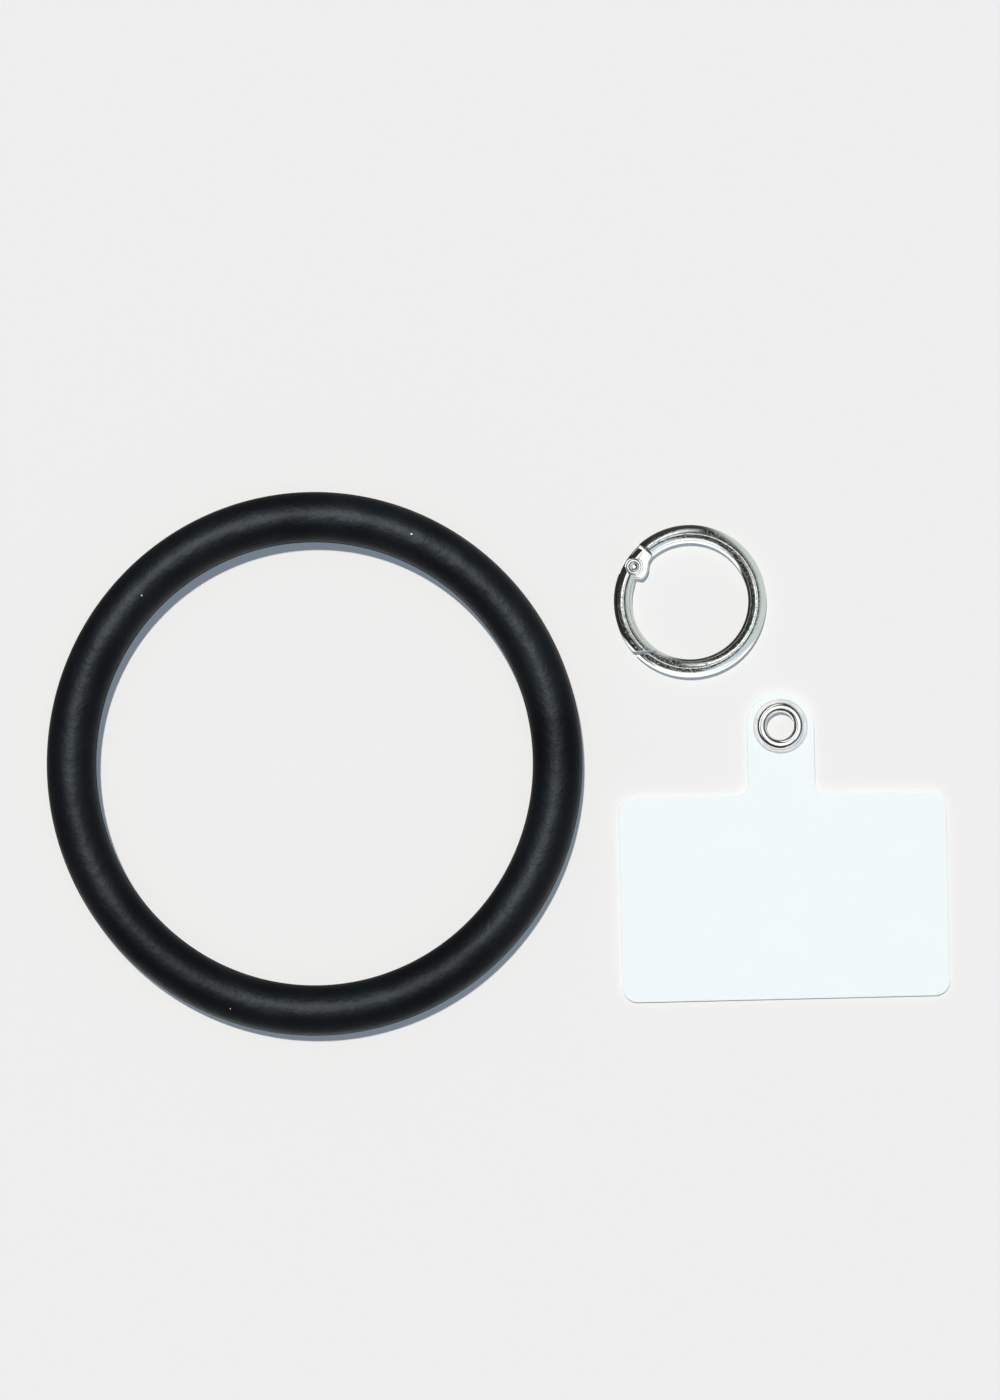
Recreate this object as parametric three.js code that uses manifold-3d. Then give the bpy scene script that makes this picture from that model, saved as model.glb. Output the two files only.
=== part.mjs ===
// Wrist lanyard for a phone, laid out on a table: a silicone bangle, a spring gate ring
// that clips to it, and a plastic tab with a metal eyelet that sits in the phone's case.
// Lengths are in millimetres, angles in degrees, and +Z points up from the table.

import * as THREE from 'three';
import { mergeVertices } from 'three/addons/utils/BufferGeometryUtils.js';
import Module from 'manifold-3d';

const wasm = await Module();
wasm.setup();

// Bangle: one moulded loop of round section, a little longer than it is wide
const BANGLE_INNER_WIDTH = 71.6;
const BANGLE_INNER_LENGTH = 72.8;
const BANGLE_SECTION = 7.9;
const FLASH_HEIGHT = 0.12; // what the parting line stands proud of the round section
const FLASH_WIDTH = 0.45;

// Ring: a cast hoop of round section with a gate in its left side
const RING_OUTER_DIAMETER = 25;
const RING_SECTION = 2.95;
const PIN_ANGLE = 148.7; // where the hinge pin stands on the hoop, counter-clockwise from +X
const PIN_INSET = 0.2; // from the section's middle towards the ring's centre
const GATE_SPAN = 89.2; // round the hoop from the pin to the tip of the gate's nose

// Hinge: the hoop ends in a tongue, and the gate's two cheeks straddle it
const TONGUE_THICKNESS = 1.1;
const TONGUE_EDGE = 0.2; // rounding of the tongue's rim
const LOBE_RADIUS = 2.45; // the tongue's round end, about the pin
const SHANK_INNER_HALF = 1.75; // from the pin's line to the tongue's inner side
const SHOULDER_REACH = 3.3; // from the pin to where the round section begins again
const SHOULDER_SLANT = 11;
const SHOULDER_BEVEL = 15; // lean of the shoulder's faces away from the pin
const TAIL_GAP = 0.22; // between the gate's tail and the shoulder
const TAIL_CORNER = 0.45;
const TAIL_INNER_HALF = 0.1; // how far past the pin's line the tail's cheeks reach inwards
const CHEEK_CLEARANCE = 0.08; // between a cheek and the tongue
const LOBE_CLEARANCE = 0.15; // between the lobe and the bottom of the gate's slot
const EAR_RADIUS = 1.55;
const EAR_DROP = 0.36; // how far the cheeks' round ears lie below the section's top
const BOSS_DROP = 0.16;
const BOSS_RIM = 0.36; // ring of metal round the pin's head
const GROOVE_WIDTH = 0.14; // round the boss

// Hinge pin: a rivet peened over at both ends
const PIN_RADIUS = 0.6;
const PIN_HEAD_OVERHANG = 0.2;
const PIN_HEAD_DEPTH = 0.3;
const PIN_HEAD_DROP = 0.08; // how far the heads stay below the section's top
const PIN_DIMPLE_DEPTH = 0.12;
const PIN_CLEARANCE = 0.05;

// Gate spring: a coil in a bore in the gate that presses on the tongue's flat end
const CAM_DISTANCE = 1.9; // from the pin to the flat
const SPRING_DIAMETER = 1.2;
const SPRING_WIRE = 0.22;
const SPRING_LENGTH = 3.8;
const SPRING_TURNS = 8;
const SPRING_CLEARANCE = 0.14; // round the coil, in its bore
const SPRING_SEAT_GAP = 0.08; // at each end of the coil

// Latch: gate and hoop meet on a slant, with the gate's nose longer inside the ring
const LATCH_SLANT = 55.7; // from the hoop's radius at the nose to the gate's end face
const LATCH_FLARE = 6; // how far the hoop's end face leans away from it, towards the outside
const LATCH_GAP = 0.14; // at the nose

// Tab: a flat sheet with a neck that carries the eyelet
const TAB_WIDTH = 53.8;
const TAB_LENGTH = 33.5; // the sheet without its neck
const TAB_THICKNESS = 0.7;
const TAB_CORNER = 2.5;
const TAB_EDGE = 0.1; // rounding left by the cutter
const NECK_WIDTH = 11;
const NECK_LENGTH = 16.85; // from the sheet's edge to the end of the neck
const NECK_FILLET = 1.9;
const TAB_TURN = 1.35; // as the tab lies on the table

// Eyelet: a barrel with a flange under the tab, rolled over a washer on top of it
const EYELET_HOLE = 4.6;
const EYELET_WALL = 0.28;
const EYELET_FLANGE_DIAMETER = 8.7;
const EYELET_FLANGE_THICKNESS = 0.35;
const EYELET_CURL_DIAMETER = 7.7;
const EYELET_CURL_HEIGHT = 0.62;
const EYELET_MOUTH = 0.2; // rounding where the barrel turns into the flange
const WASHER_DIAMETER = 8.9;
const WASHER_THICKNESS = 0.34;
const WASHER_EDGE = 0.16;
const BARREL_CLEARANCE = 0.08; // between the barrel and what it passes through
const CLAMP_GAP = 0.02; // between faces that are clamped together

// Layout: how far apart the three things lie
const TAB_SIDE_GAP = 6.4; // from the bangle to the tab, across
const TAB_RISE = 5.7; // from the bangle's lowest point to the tab's lower edge
const RING_SIDE_GAP = 5.3;
const RING_TAB_GAP = 2.4; // from the end of the tab's neck to the ring, along

// Smoothness of the round shapes
const BANGLE_STEPS = 80;
const BANGLE_SIDES = 24;
const HOOP_STEPS = 72;
const HOOP_SIDES = 20;
const TURNED_STEPS = 32;
const PIN_STEPS = 24;
const COIL_STEPS_PER_TURN = 10;
const COIL_SIDES = 6;

const radians = THREE.MathUtils.degToRad;

const SILICONE = { color: 0x15191d, roughness: 0.55, metalness: 0 };
const NICKEL = { color: 0xc9ccca, roughness: 0.14, metalness: 1 };
const STEEL = { color: 0xb9bcbb, roughness: 0.3, metalness: 1 };
const MILKY_PLASTIC = { color: 0xf1f5f6, roughness: 0.4, metalness: 0 };

/** A named mesh with its own material. */
function part(name, geometry, look) {
  const mesh = new THREE.Mesh(geometry, new THREE.MeshStandardMaterial(look));
  mesh.name = name;
  return mesh;
}

/** The solid that a closed geometry bounds. */
function solidOf(geometry) {
  geometry.deleteAttribute('normal');
  geometry.deleteAttribute('uv');
  const merged = mergeVertices(geometry, 1e-5);
  return new wasm.Manifold(new wasm.Mesh({
    numProp: 3,
    vertProperties: Float32Array.from(merged.attributes.position.array),
    triVerts: Uint32Array.from(merged.index.array),
  }));
}

/** The geometry of a solid. */
function geometryOf(solid) {
  const mesh = solid.getMesh();
  const geometry = new THREE.BufferGeometry();
  geometry.setAttribute('position', new THREE.BufferAttribute(mesh.vertProperties, 3));
  geometry.setIndex(new THREE.BufferAttribute(mesh.triVerts, 1));
  geometry.computeVertexNormals();
  return geometry;
}

/** A profile of [radius, height] pairs turned about Z. */
function turned(profile, steps) {
  const points = profile.map(([radius, height]) => new THREE.Vector2(radius, height));
  return new THREE.LatheGeometry(points, steps).rotateX(Math.PI / 2);
}

/** An upright cylinder about a point of the plan, from one height to another. */
function post(centre, radius, low, high, steps) {
  const geometry = new THREE.CylinderGeometry(radius, radius, high - low, steps);
  geometry.rotateX(Math.PI / 2);
  return solidOf(geometry.translate(centre.x, centre.y, (low + high) / 2));
}

/** A plan outline raised to a plate that lies evenly about z = 0, with its rim rounded. */
function plate(shape, thickness, edge, curveSegments) {
  const geometry = new THREE.ExtrudeGeometry(shape, {
    depth: thickness - 2 * edge,
    curveSegments,
    bevelEnabled: edge > 0,
    bevelSize: edge,
    bevelThickness: edge,
    bevelOffset: -edge,
    bevelSegments: 1,
  });
  return geometry.translate(0, 0, edge - thickness / 2);
}

/** A unit vector of the plan at an angle from +X. */
function heading(degrees) {
  return new THREE.Vector2(Math.cos(radians(degrees)), Math.sin(radians(degrees)));
}

/** A big block whose near face passes through a point of the plan, facing against the heading.
 * Its face leans back by the given angle as it rises. */
function halfSpace(point, degrees, lean = 0) {
  const size = 4 * RING_OUTER_DIAMETER;
  const block = new THREE.BoxGeometry(size, size, size).translate(size / 2, 0, 0);
  block.rotateY(radians(lean));
  block.rotateZ(radians(degrees));
  return solidOf(block.translate(point.x, point.y, 0));
}

// Bangle

const bangleCentreWidth = BANGLE_INNER_WIDTH + BANGLE_SECTION;
const bangleCentreLength = BANGLE_INNER_LENGTH + BANGLE_SECTION;
const bangleHalfWidth = bangleCentreWidth / 2 + BANGLE_SECTION / 2;
const bangleHalfLength = bangleCentreLength / 2 + BANGLE_SECTION / 2;

/** The bangle's section: a circle with a low ridge at its inner and outer parting lines. */
function bangleProfile() {
  const radius = BANGLE_SECTION / 2;
  const ridge = FLASH_WIDTH / 2 / radius;
  const stretch = Math.PI - 2 * ridge;
  const profile = [];
  for (const middle of [0, Math.PI]) {
    const tip = radius + FLASH_HEIGHT;
    profile.push([bangleCentreWidth / 2 + tip * Math.cos(middle), tip * Math.sin(middle)]);
    for (let i = 0; i <= BANGLE_SIDES / 2; i += 1) {
      const angle = middle + ridge + (stretch * i) / (BANGLE_SIDES / 2);
      profile.push([
        bangleCentreWidth / 2 + radius * Math.cos(angle),
        radius * Math.sin(angle),
      ]);
    }
  }
  profile.push(profile[0]);
  return profile;
}

function bangle() {
  const loop = turned(bangleProfile(), BANGLE_STEPS);
  loop.scale(1, bangleCentreLength / bangleCentreWidth, 1);
  const mesh = part('bangle', geometryOf(solidOf(loop)), SILICONE);
  mesh.position.z = BANGLE_SECTION / 2;
  return mesh;
}

// Places in the ring, seen from above with its centre at the origin

const sectionRadius = RING_SECTION / 2;
const hoopRadius = RING_OUTER_DIAMETER / 2 - sectionRadius;
const pin = heading(PIN_ANGLE).multiplyScalar(hoopRadius - PIN_INSET);
const tailHeading = PIN_ANGLE - 90;
const shoulderHeading = tailHeading - SHOULDER_SLANT;
const noseAngle = PIN_ANGLE + GATE_SPAN;
const nose = heading(noseAngle).multiplyScalar(hoopRadius - sectionRadius);
const tailReach = SHOULDER_REACH - TAIL_GAP;

const pinHeadRadius = PIN_RADIUS + PIN_HEAD_OVERHANG;
const pinHeadTop = sectionRadius - PIN_HEAD_DROP;
const bossRadius = pinHeadRadius + PIN_CLEARANCE + BOSS_RIM;
const bossTop = sectionRadius - BOSS_DROP;
const earTop = sectionRadius - EAR_DROP;

// The spring's bore runs straight, so its two ends lie on the hoop's curved middle line
const camAngle = PIN_ANGLE + THREE.MathUtils.radToDeg(CAM_DISTANCE / hoopRadius);
const camPoint = heading(camAngle).multiplyScalar(hoopRadius);
const boreDepth = SPRING_LENGTH + 2 * SPRING_SEAT_GAP;
const boreTurn = THREE.MathUtils.radToDeg(Math.asin(boreDepth / 2 / hoopRadius));
const boreHeading = camAngle + boreTurn + 90;

/** The plan's point at a distance from the pin along a heading. */
function fromPin(distance, degrees) {
  return heading(degrees).multiplyScalar(distance).add(pin);
}

/** A plan point given from the pin: along the tail, and across towards the ring's inside. */
function atPin(along, across) {
  const inwards = heading(tailHeading - 90).multiplyScalar(across);
  return heading(tailHeading).multiplyScalar(along).add(inwards).add(pin);
}

/** The whole hoop, before the gate is parted from it. */
function hoop() {
  return solidOf(new THREE.TorusGeometry(hoopRadius, sectionRadius, HOOP_SIDES, HOOP_STEPS));
}

/** A tall block over the stretch of hoop that holds the gate and both its ends. */
function gateSide() {
  const reach = 2 * RING_OUTER_DIAMETER;
  const inner = hoopRadius - 2 * sectionRadius;
  const start = PIN_ANGLE - 30;
  const end = noseAngle + 25;
  const outline = new THREE.Shape();
  const near = heading(start).multiplyScalar(inner);
  outline.moveTo(near.x, near.y);
  for (let i = 0; i <= 4; i += 1) {
    const corner = heading(start + ((end - start) * i) / 4).multiplyScalar(reach);
    outline.lineTo(corner.x, corner.y);
  }
  const far = heading(end).multiplyScalar(inner);
  outline.lineTo(far.x, far.y);
  return solidOf(plate(outline, 2 * RING_SECTION, 0, 1));
}

/** What lies past the gate's end face, or past the hoop's with a gap and a flare. */
function pastLatch(gap, flare) {
  const facing = noseAngle - LATCH_SLANT + 90;
  const start = heading(facing).multiplyScalar(gap).add(nose);
  return halfSpace(start, facing + flare);
}

/** The tongue that the gate turns on: a lobe about the pin and a shank into the hoop. */
function tongue() {
  const outer = hoopRadius + Math.sqrt(sectionRadius ** 2 - (TONGUE_THICKNESS / 2) ** 2);
  const length = SHOULDER_REACH + sectionRadius;
  const lobe = new THREE.Shape().absarc(pin.x, pin.y, LOBE_RADIUS, 0, 2 * Math.PI);
  const shank = new THREE.Shape([
    atPin(0, SHANK_INNER_HALF),
    atPin(0, -LOBE_RADIUS),
    atPin(length, -LOBE_RADIUS),
    atPin(length, SHANK_INNER_HALF),
  ]);
  const flush = post(new THREE.Vector2(), outer, -RING_SECTION, RING_SECTION, HOOP_STEPS);
  return solidOf(plate(lobe, TONGUE_THICKNESS, TONGUE_EDGE, TURNED_STEPS / 2))
    .add(solidOf(plate(shank, TONGUE_THICKNESS, TONGUE_EDGE, 1)))
    .intersect(flush)
    .subtract(halfSpace(camPoint, boreHeading));
}

/** The hoop without its gate, ending in the tongue at the hinge and a slant at the latch. */
function ringBody() {
  const shoulder = fromPin(SHOULDER_REACH, shoulderHeading);
  const above = halfSpace(shoulder, shoulderHeading, SHOULDER_BEVEL);
  const below = halfSpace(shoulder, shoulderHeading, -SHOULDER_BEVEL);
  const gateZone = gateSide()
    .subtract(above.intersect(below))
    .subtract(pastLatch(LATCH_GAP, LATCH_FLARE));
  const hole = post(pin, PIN_RADIUS + PIN_CLEARANCE, -RING_SECTION, RING_SECTION, PIN_STEPS);
  const solid = hoop().subtract(gateZone).add(tongue()).subtract(hole);
  return part('ring_body', geometryOf(solid), NICKEL);
}

/** The plan of the gate's tail: the outer half of the section, with a rounded end. */
function tailZone() {
  const outer = RING_SECTION;
  const inner = TAIL_INNER_HALF;
  const end = tailReach;
  const corner = TAIL_CORNER;
  const outline = new THREE.Shape();
  // How far out the hoop's outer side lies from the pin's line, level with the tail's end
  const flank = pin.length() - Math.sqrt((RING_OUTER_DIAMETER / 2) ** 2 - end ** 2);
  const at = (along, across) => {
    const point = atPin(along, across);
    return [point.x, point.y];
  };
  outline.moveTo(...at(-LOBE_RADIUS, inner));
  outline.lineTo(...at(end - corner, inner));
  outline.quadraticCurveTo(...at(end, inner), ...at(end, inner - corner));
  outline.lineTo(...at(end, flank + corner));
  outline.quadraticCurveTo(...at(end, flank), ...at(end - corner, flank));
  outline.lineTo(...at(end - corner, -outer));
  outline.lineTo(...at(-LOBE_RADIUS, -outer));
  return solidOf(plate(outline, 2 * RING_SECTION, 0, 4));
}

/** What the gate's slot takes out, so that the cheeks clear the tongue as the gate turns. */
function slot() {
  const half = TONGUE_THICKNESS / 2 + CHEEK_CLEARANCE;
  const open = halfSpace(pin, tailHeading);
  const layer = post(pin, 2 * LOBE_RADIUS + SHOULDER_REACH, -half, half, TURNED_STEPS);
  const round = post(pin, LOBE_RADIUS + LOBE_CLEARANCE, -half, half, 2 * TURNED_STEPS);
  return layer.intersect(open).add(round);
}

/** The bore that holds the spring, from the slot into the gate. */
function springBore() {
  const radius = SPRING_DIAMETER / 2 + SPRING_CLEARANCE;
  const bore = new THREE.CylinderGeometry(radius, radius, boreDepth, PIN_STEPS);
  bore.rotateZ(Math.PI / 2).translate(boreDepth / 2, 0, 0).rotateZ(radians(boreHeading));
  return solidOf(bore.translate(camPoint.x, camPoint.y, 0));
}

/** The pin's shape with clearance all round, for the holes that it passes through. */
function pinProfile(clearance) {
  const shaft = PIN_RADIUS + clearance;
  const head = pinHeadRadius + clearance;
  const neck = pinHeadTop - PIN_HEAD_DEPTH - clearance;
  const rim = pinHeadTop - PIN_HEAD_DEPTH / 3;
  return { shaft, head, neck, rim };
}

function gate() {
  const arc = hoop().intersect(gateSide()).subtract(pastLatch(0, 0));
  const main = arc.subtract(halfSpace(pin, tailHeading));
  const tail = arc.intersect(tailZone());
  const pocket = bossRadius + GROOVE_WIDTH;
  const { shaft, head, neck, rim } = pinProfile(PIN_CLEARANCE);
  let solid = main.add(tail);
  for (const side of [-1, 1]) {
    const facing = post(pin, pocket, earTop, RING_SECTION, TURNED_STEPS);
    solid = solid.subtract(side < 0 ? facing.mirror([0, 0, 1]) : facing);
  }
  solid = solid
    .add(post(pin, EAR_RADIUS, -earTop, earTop, TURNED_STEPS))
    .add(post(pin, bossRadius, -bossTop, bossTop, TURNED_STEPS))
    .subtract(slot())
    .subtract(springBore());
  const hole = turned([
    [0, -RING_SECTION], [head, -RING_SECTION], [head, -rim], [shaft, -neck],
    [shaft, neck], [head, rim], [head, RING_SECTION], [0, RING_SECTION],
  ], PIN_STEPS).translate(pin.x, pin.y, 0);
  return part('gate', geometryOf(solid.subtract(solidOf(hole))), NICKEL);
}

function hingePin() {
  const { shaft, head, neck, rim } = pinProfile(0);
  const dimple = pinHeadTop - PIN_DIMPLE_DEPTH;
  const crown = (head + PIN_RADIUS / 2) / 2;
  const half = [
    [shaft, neck], [head, rim], [head, (rim + pinHeadTop) / 2], [crown, pinHeadTop],
    [PIN_RADIUS / 2, (dimple + pinHeadTop) / 2], [0, dimple],
  ];
  const lower = half.map(([radius, height]) => [radius, -height]).reverse();
  const rivet = turned([...lower, ...half], PIN_STEPS);
  const mesh = part('hinge_pin', geometryOf(solidOf(rivet)), STEEL);
  mesh.position.set(pin.x, pin.y, 0);
  return mesh;
}

/** The coil's middle line, along +X from the origin. */
class Coil extends THREE.Curve {
  getPoint(t, target = new THREE.Vector3()) {
    const radius = (SPRING_DIAMETER - SPRING_WIRE) / 2;
    const angle = 2 * Math.PI * SPRING_TURNS * t;
    const along = SPRING_WIRE / 2 + (SPRING_LENGTH - SPRING_WIRE) * t;
    return target.set(along, radius * Math.cos(angle), radius * Math.sin(angle));
  }
}

function gateSpring() {
  const wire = new THREE.Shape();
  for (let i = 0; i < COIL_SIDES; i += 1) {
    const corner = heading((360 * i) / COIL_SIDES).multiplyScalar(SPRING_WIRE / 2);
    if (i === 0) wire.moveTo(corner.x, corner.y);
    else wire.lineTo(corner.x, corner.y);
  }
  const coil = new THREE.ExtrudeGeometry(wire, {
    steps: SPRING_TURNS * COIL_STEPS_PER_TURN,
    extrudePath: new Coil(),
  });
  const mesh = part('gate_spring', geometryOf(solidOf(coil)), STEEL);
  const start = heading(boreHeading).multiplyScalar(SPRING_SEAT_GAP).add(camPoint);
  mesh.position.set(start.x, start.y, 0);
  mesh.rotation.z = radians(boreHeading);
  return mesh;
}

// Tab and eyelet, in the tab's own frame: its sheet is centred on the origin, its neck
// points along +Y, and its underside is at z = 0

const halfWidth = TAB_WIDTH / 2;
const halfLength = TAB_LENGTH / 2;
const neckHalf = NECK_WIDTH / 2;
const neckEnd = halfLength + NECK_LENGTH;
const eyeletY = neckEnd - neckHalf;
const barrelRadius = EYELET_HOLE / 2 + EYELET_WALL;
const flangeRadius = EYELET_FLANGE_DIAMETER / 2;
const washerTop = TAB_THICKNESS + CLAMP_GAP + WASHER_THICKNESS;

/** The tab's outline: a sheet with rounded corners and a round-ended neck. */
function tabOutline() {
  const outline = new THREE.Shape();
  const corner = TAB_CORNER;
  const quarter = Math.PI / 2;
  outline.moveTo(-halfWidth + corner, -halfLength);
  outline.absarc(halfWidth - corner, -halfLength + corner, corner, -quarter, 0);
  outline.absarc(halfWidth - corner, halfLength - corner, corner, 0, quarter);
  const filletX = neckHalf + NECK_FILLET;
  const filletY = halfLength + NECK_FILLET;
  outline.absarc(filletX, filletY, NECK_FILLET, -quarter, -2 * quarter, true);
  outline.absarc(0, eyeletY, neckHalf, 0, 2 * quarter);
  outline.absarc(-filletX, filletY, NECK_FILLET, 0, -quarter, true);
  outline.absarc(-halfWidth + corner, halfLength - corner, corner, quarter, 2 * quarter);
  outline.absarc(-halfWidth + corner, -halfLength + corner, corner, 2 * quarter, 3 * quarter);
  return outline;
}

function tab() {
  const outline = tabOutline();
  const hole = new THREE.Path();
  hole.absarc(0, eyeletY, barrelRadius + BARREL_CLEARANCE, 0, 2 * Math.PI, true);
  outline.holes.push(hole);
  const sheet = plate(outline, TAB_THICKNESS, TAB_EDGE, 8);
  sheet.translate(0, 0, TAB_THICKNESS / 2);
  return part('tab', geometryOf(solidOf(sheet)), MILKY_PLASTIC);
}

/** Points of a quarter or half ellipse in a turned profile. */
function arc(radius, height, across, up, from, to, count) {
  const points = [];
  for (let i = 0; i <= count; i += 1) {
    const angle = radians(from + ((to - from) * i) / count);
    points.push([radius + across * Math.cos(angle), height + up * Math.sin(angle)]);
  }
  return points;
}

/** The eyelet: flange under the tab, barrel through it, and its top rolled outwards. */
function eyelet() {
  const bore = EYELET_HOLE / 2;
  const curlRadius = EYELET_CURL_DIAMETER / 2;
  const lip = washerTop + CLAMP_GAP;
  const curlMiddle = (bore + curlRadius) / 2;
  const curlHalf = (curlRadius - bore) / 2;
  const bottom = -CLAMP_GAP - EYELET_FLANGE_THICKNESS;
  const rim = EYELET_FLANGE_THICKNESS / 2;
  const profile = [
    ...arc(bore + EYELET_MOUTH, bottom + EYELET_MOUTH, EYELET_MOUTH, EYELET_MOUTH, 180, 270, 3),
    ...arc(flangeRadius - rim, bottom + rim, rim, rim, -90, 90, 4),
    [barrelRadius, -CLAMP_GAP],
    ...arc(
      curlMiddle, lip, curlHalf - EYELET_WALL, EYELET_CURL_HEIGHT - EYELET_WALL, 180, 0, 6,
    ),
    ...arc(curlMiddle, lip, curlHalf, EYELET_CURL_HEIGHT, 0, 180, 10),
  ];
  profile.push(profile[0]);
  const mesh = part('eyelet', geometryOf(solidOf(turned(profile, TURNED_STEPS))), NICKEL);
  mesh.position.y = eyeletY;
  return mesh;
}

/** The washer that the eyelet's rolled edge bears on. */
function eyeletWasher() {
  const inner = barrelRadius + BARREL_CLEARANCE;
  const outer = WASHER_DIAMETER / 2;
  const bottom = TAB_THICKNESS + CLAMP_GAP;
  const profile = [
    [inner, bottom],
    [outer, bottom],
    ...arc(outer - WASHER_EDGE, washerTop - WASHER_EDGE, WASHER_EDGE, WASHER_EDGE, 0, 90, 3),
    [inner, washerTop],
    [inner, bottom],
  ];
  const washer = geometryOf(solidOf(turned(profile, TURNED_STEPS)));
  const mesh = part('eyelet_washer', washer, NICKEL);
  mesh.position.y = eyeletY;
  return mesh;
}

// Assembly

function gateRing() {
  const group = new THREE.Group();
  group.add(ringBody(), gate(), hingePin(), gateSpring());
  group.position.z = sectionRadius;
  return group;
}

/** The tab with its eyelet, tipped as it comes to rest: on the flange and its far edge. */
function tabAndEyelet() {
  const group = new THREE.Group();
  group.add(tab(), eyelet(), eyeletWasher());
  const flangeFoot = eyeletY - (flangeRadius - EYELET_FLANGE_THICKNESS / 2);
  const drop = EYELET_FLANGE_THICKNESS + CLAMP_GAP;
  const farEdge = halfLength - TAB_EDGE;
  const tip = Math.atan(drop / (flangeFoot + farEdge));
  group.rotation.order = 'ZYX';
  group.rotation.set(tip, 0, radians(TAB_TURN));
  group.position.z = farEdge * Math.sin(tip);
  return group;
}

const lanyard = new THREE.Group();
const ring = gateRing();
const tether = tabAndEyelet();
tether.position.x = bangleHalfWidth + TAB_SIDE_GAP + halfWidth;
tether.position.y = -bangleHalfLength + TAB_RISE + halfLength;
ring.position.x = bangleHalfWidth + RING_SIDE_GAP + RING_OUTER_DIAMETER / 2;
ring.position.y = tether.position.y + neckEnd + RING_TAB_GAP + RING_OUTER_DIAMETER / 2;
lanyard.add(bangle(), ring, tether);

// The origin is on the table, under the middle of the whole set
lanyard.updateMatrixWorld(true);
const middle = new THREE.Box3().setFromObject(lanyard, true).getCenter(new THREE.Vector3());
lanyard.position.set(-middle.x, -middle.y, 0);

export default lanyard;
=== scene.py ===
"""Looks of a wrist lanyard for a phone, laid out on a pale table.

A moulded silicone bangle, a nickel plated gate ring and a milky plastic tab with a metal
eyelet lie side by side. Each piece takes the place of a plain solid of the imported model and
rides on that solid's body. Lengths in the shape functions are in millimetres.
"""

import math

import bpy
import numpy as np
from mathutils import Euler, Matrix, Vector, geometry


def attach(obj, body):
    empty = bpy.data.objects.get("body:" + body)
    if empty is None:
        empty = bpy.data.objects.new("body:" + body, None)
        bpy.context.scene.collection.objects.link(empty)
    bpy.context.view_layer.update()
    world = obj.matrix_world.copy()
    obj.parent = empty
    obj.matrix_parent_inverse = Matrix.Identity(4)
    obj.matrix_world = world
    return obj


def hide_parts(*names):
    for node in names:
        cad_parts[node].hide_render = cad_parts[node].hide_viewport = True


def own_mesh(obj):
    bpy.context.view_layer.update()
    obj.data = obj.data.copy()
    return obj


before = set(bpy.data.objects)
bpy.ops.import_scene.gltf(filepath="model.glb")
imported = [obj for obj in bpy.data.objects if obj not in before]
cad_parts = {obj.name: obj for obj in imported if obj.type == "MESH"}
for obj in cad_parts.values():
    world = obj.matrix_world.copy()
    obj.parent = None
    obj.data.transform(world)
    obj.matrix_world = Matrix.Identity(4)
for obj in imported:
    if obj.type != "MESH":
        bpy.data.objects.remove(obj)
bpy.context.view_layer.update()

bl_info = {
    "name": "Phone Bracelet Lanyard",
    "version": (1, 0, 0),
    "blender": (4, 5, 0),
    "location": "3D View > Sidebar > Lanyard",
    "description": "Silicone bangle, gate ring and phone tab, with their studio",
    "category": "Add Mesh",
}

MM = 0.001

# Where the three things lie, from the middle of the whole set (mm)
BANGLE_CENTRE = (-30.204, 0.0)
RING_CENTRE = (31.296, 26.65)
TAB_CENTRE = (46.796, -21.9, 0.1518)
TAB_TURN = 1.35  # degrees about the upright
TAB_TIP = 0.5225  # degrees that the eyelet's flange tips the tab

# Steps round the bangle's loop
BANGLE_STEPS = 720

# Gate ring: angles run counter-clockwise from the right, round the ring's centre
PIN_ANGLE = 148.7
PIN_INSET = 0.2
NOSE_ANGLE = 237.9
LATCH_FACING = 272.2
LATCH_FLARE = 6.0
LATCH_GAP = 0.14

# Hinge: the hoop's tongue between the gate's two cheeks
TONGUE_HALF = 0.55
TONGUE_EDGE = 0.2
LOBE_RADIUS = 2.45
SHANK_INNER_HALF = 1.75
SHOULDER_REACH = 3.3
SHOULDER_FACING = 47.7
SHOULDER_BEVEL = 15.0
TAIL_REACH = 3.08
TAIL_INNER_HALF = 0.1
TAIL_CORNER = 0.45
SLOT_HALF = 0.63
SLOT_RADIUS = 2.6
EAR_RADIUS = 1.55
EAR_TOP = 1.115
BOSS_RADIUS = 1.21
BOSS_TOP = 1.315
POCKET_RADIUS = 1.35
PIN_RADIUS = 0.6
PIN_CLEARANCE = 0.05
BORE_FACING = 258.92
BORE_RADIUS = 0.74
BORE_DEPTH = 3.96

# Coil spring in the gate's bore, which opens CAM_OFF round the hoop from the pin
CAM_OFF = 1.9
SPRING_WIRE = 0.22
SPRING_DIAMETER = 1.2
SPRING_LENGTH = 3.8
SPRING_TURNS = 8
SPRING_SEAT_GAP = 0.08

# Tab: how its neck and corners are cut
NECK_HALF = 5.5
NECK_FILLET = 1.9
TAB_CORNER = 2.5
TAB_EDGE = 0.1
EYELET_Y = 28.1
TAB_HOLE = 2.66

# Eyelet and its washer, with heights above the tab's underside
FLANGE_RADIUS = 4.35
FLANGE_BOTTOM = -0.37
FLANGE_TOP = -0.02
MOUTH = 0.2
EYELET_WALL = 0.28
CURL_FOOT = 1.08
CURL_RISE = 0.62
WASHER_BOTTOM = 0.72
WASHER_TOP = 1.06
WASHER_RADIUS = 4.45
WASHER_EDGE = 0.16

# Lint on the bangle, as points on its surface and radii (mm)
LINT = ((-58.23, 27.49, 7.82, 0.08), (-14.30, 37.49, 7.87, 0.11), (-43.80, -39.89, 7.45, 0.07))

# Colours that aren't settings
LINT_COLOUR = "#e6eaea"
# Painted highlight along the bangle's parting line, where its ridge catches the light
SEAM_HIGHLIGHT_COLOUR = "#5a5f5e"
SPRING_COLOUR = "#b9b8b2"
# White of the washer, a painted reflection of the bright room that its flat face mirrors
WASHER_PAINTED_WHITE = "#e3e8ec"

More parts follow.
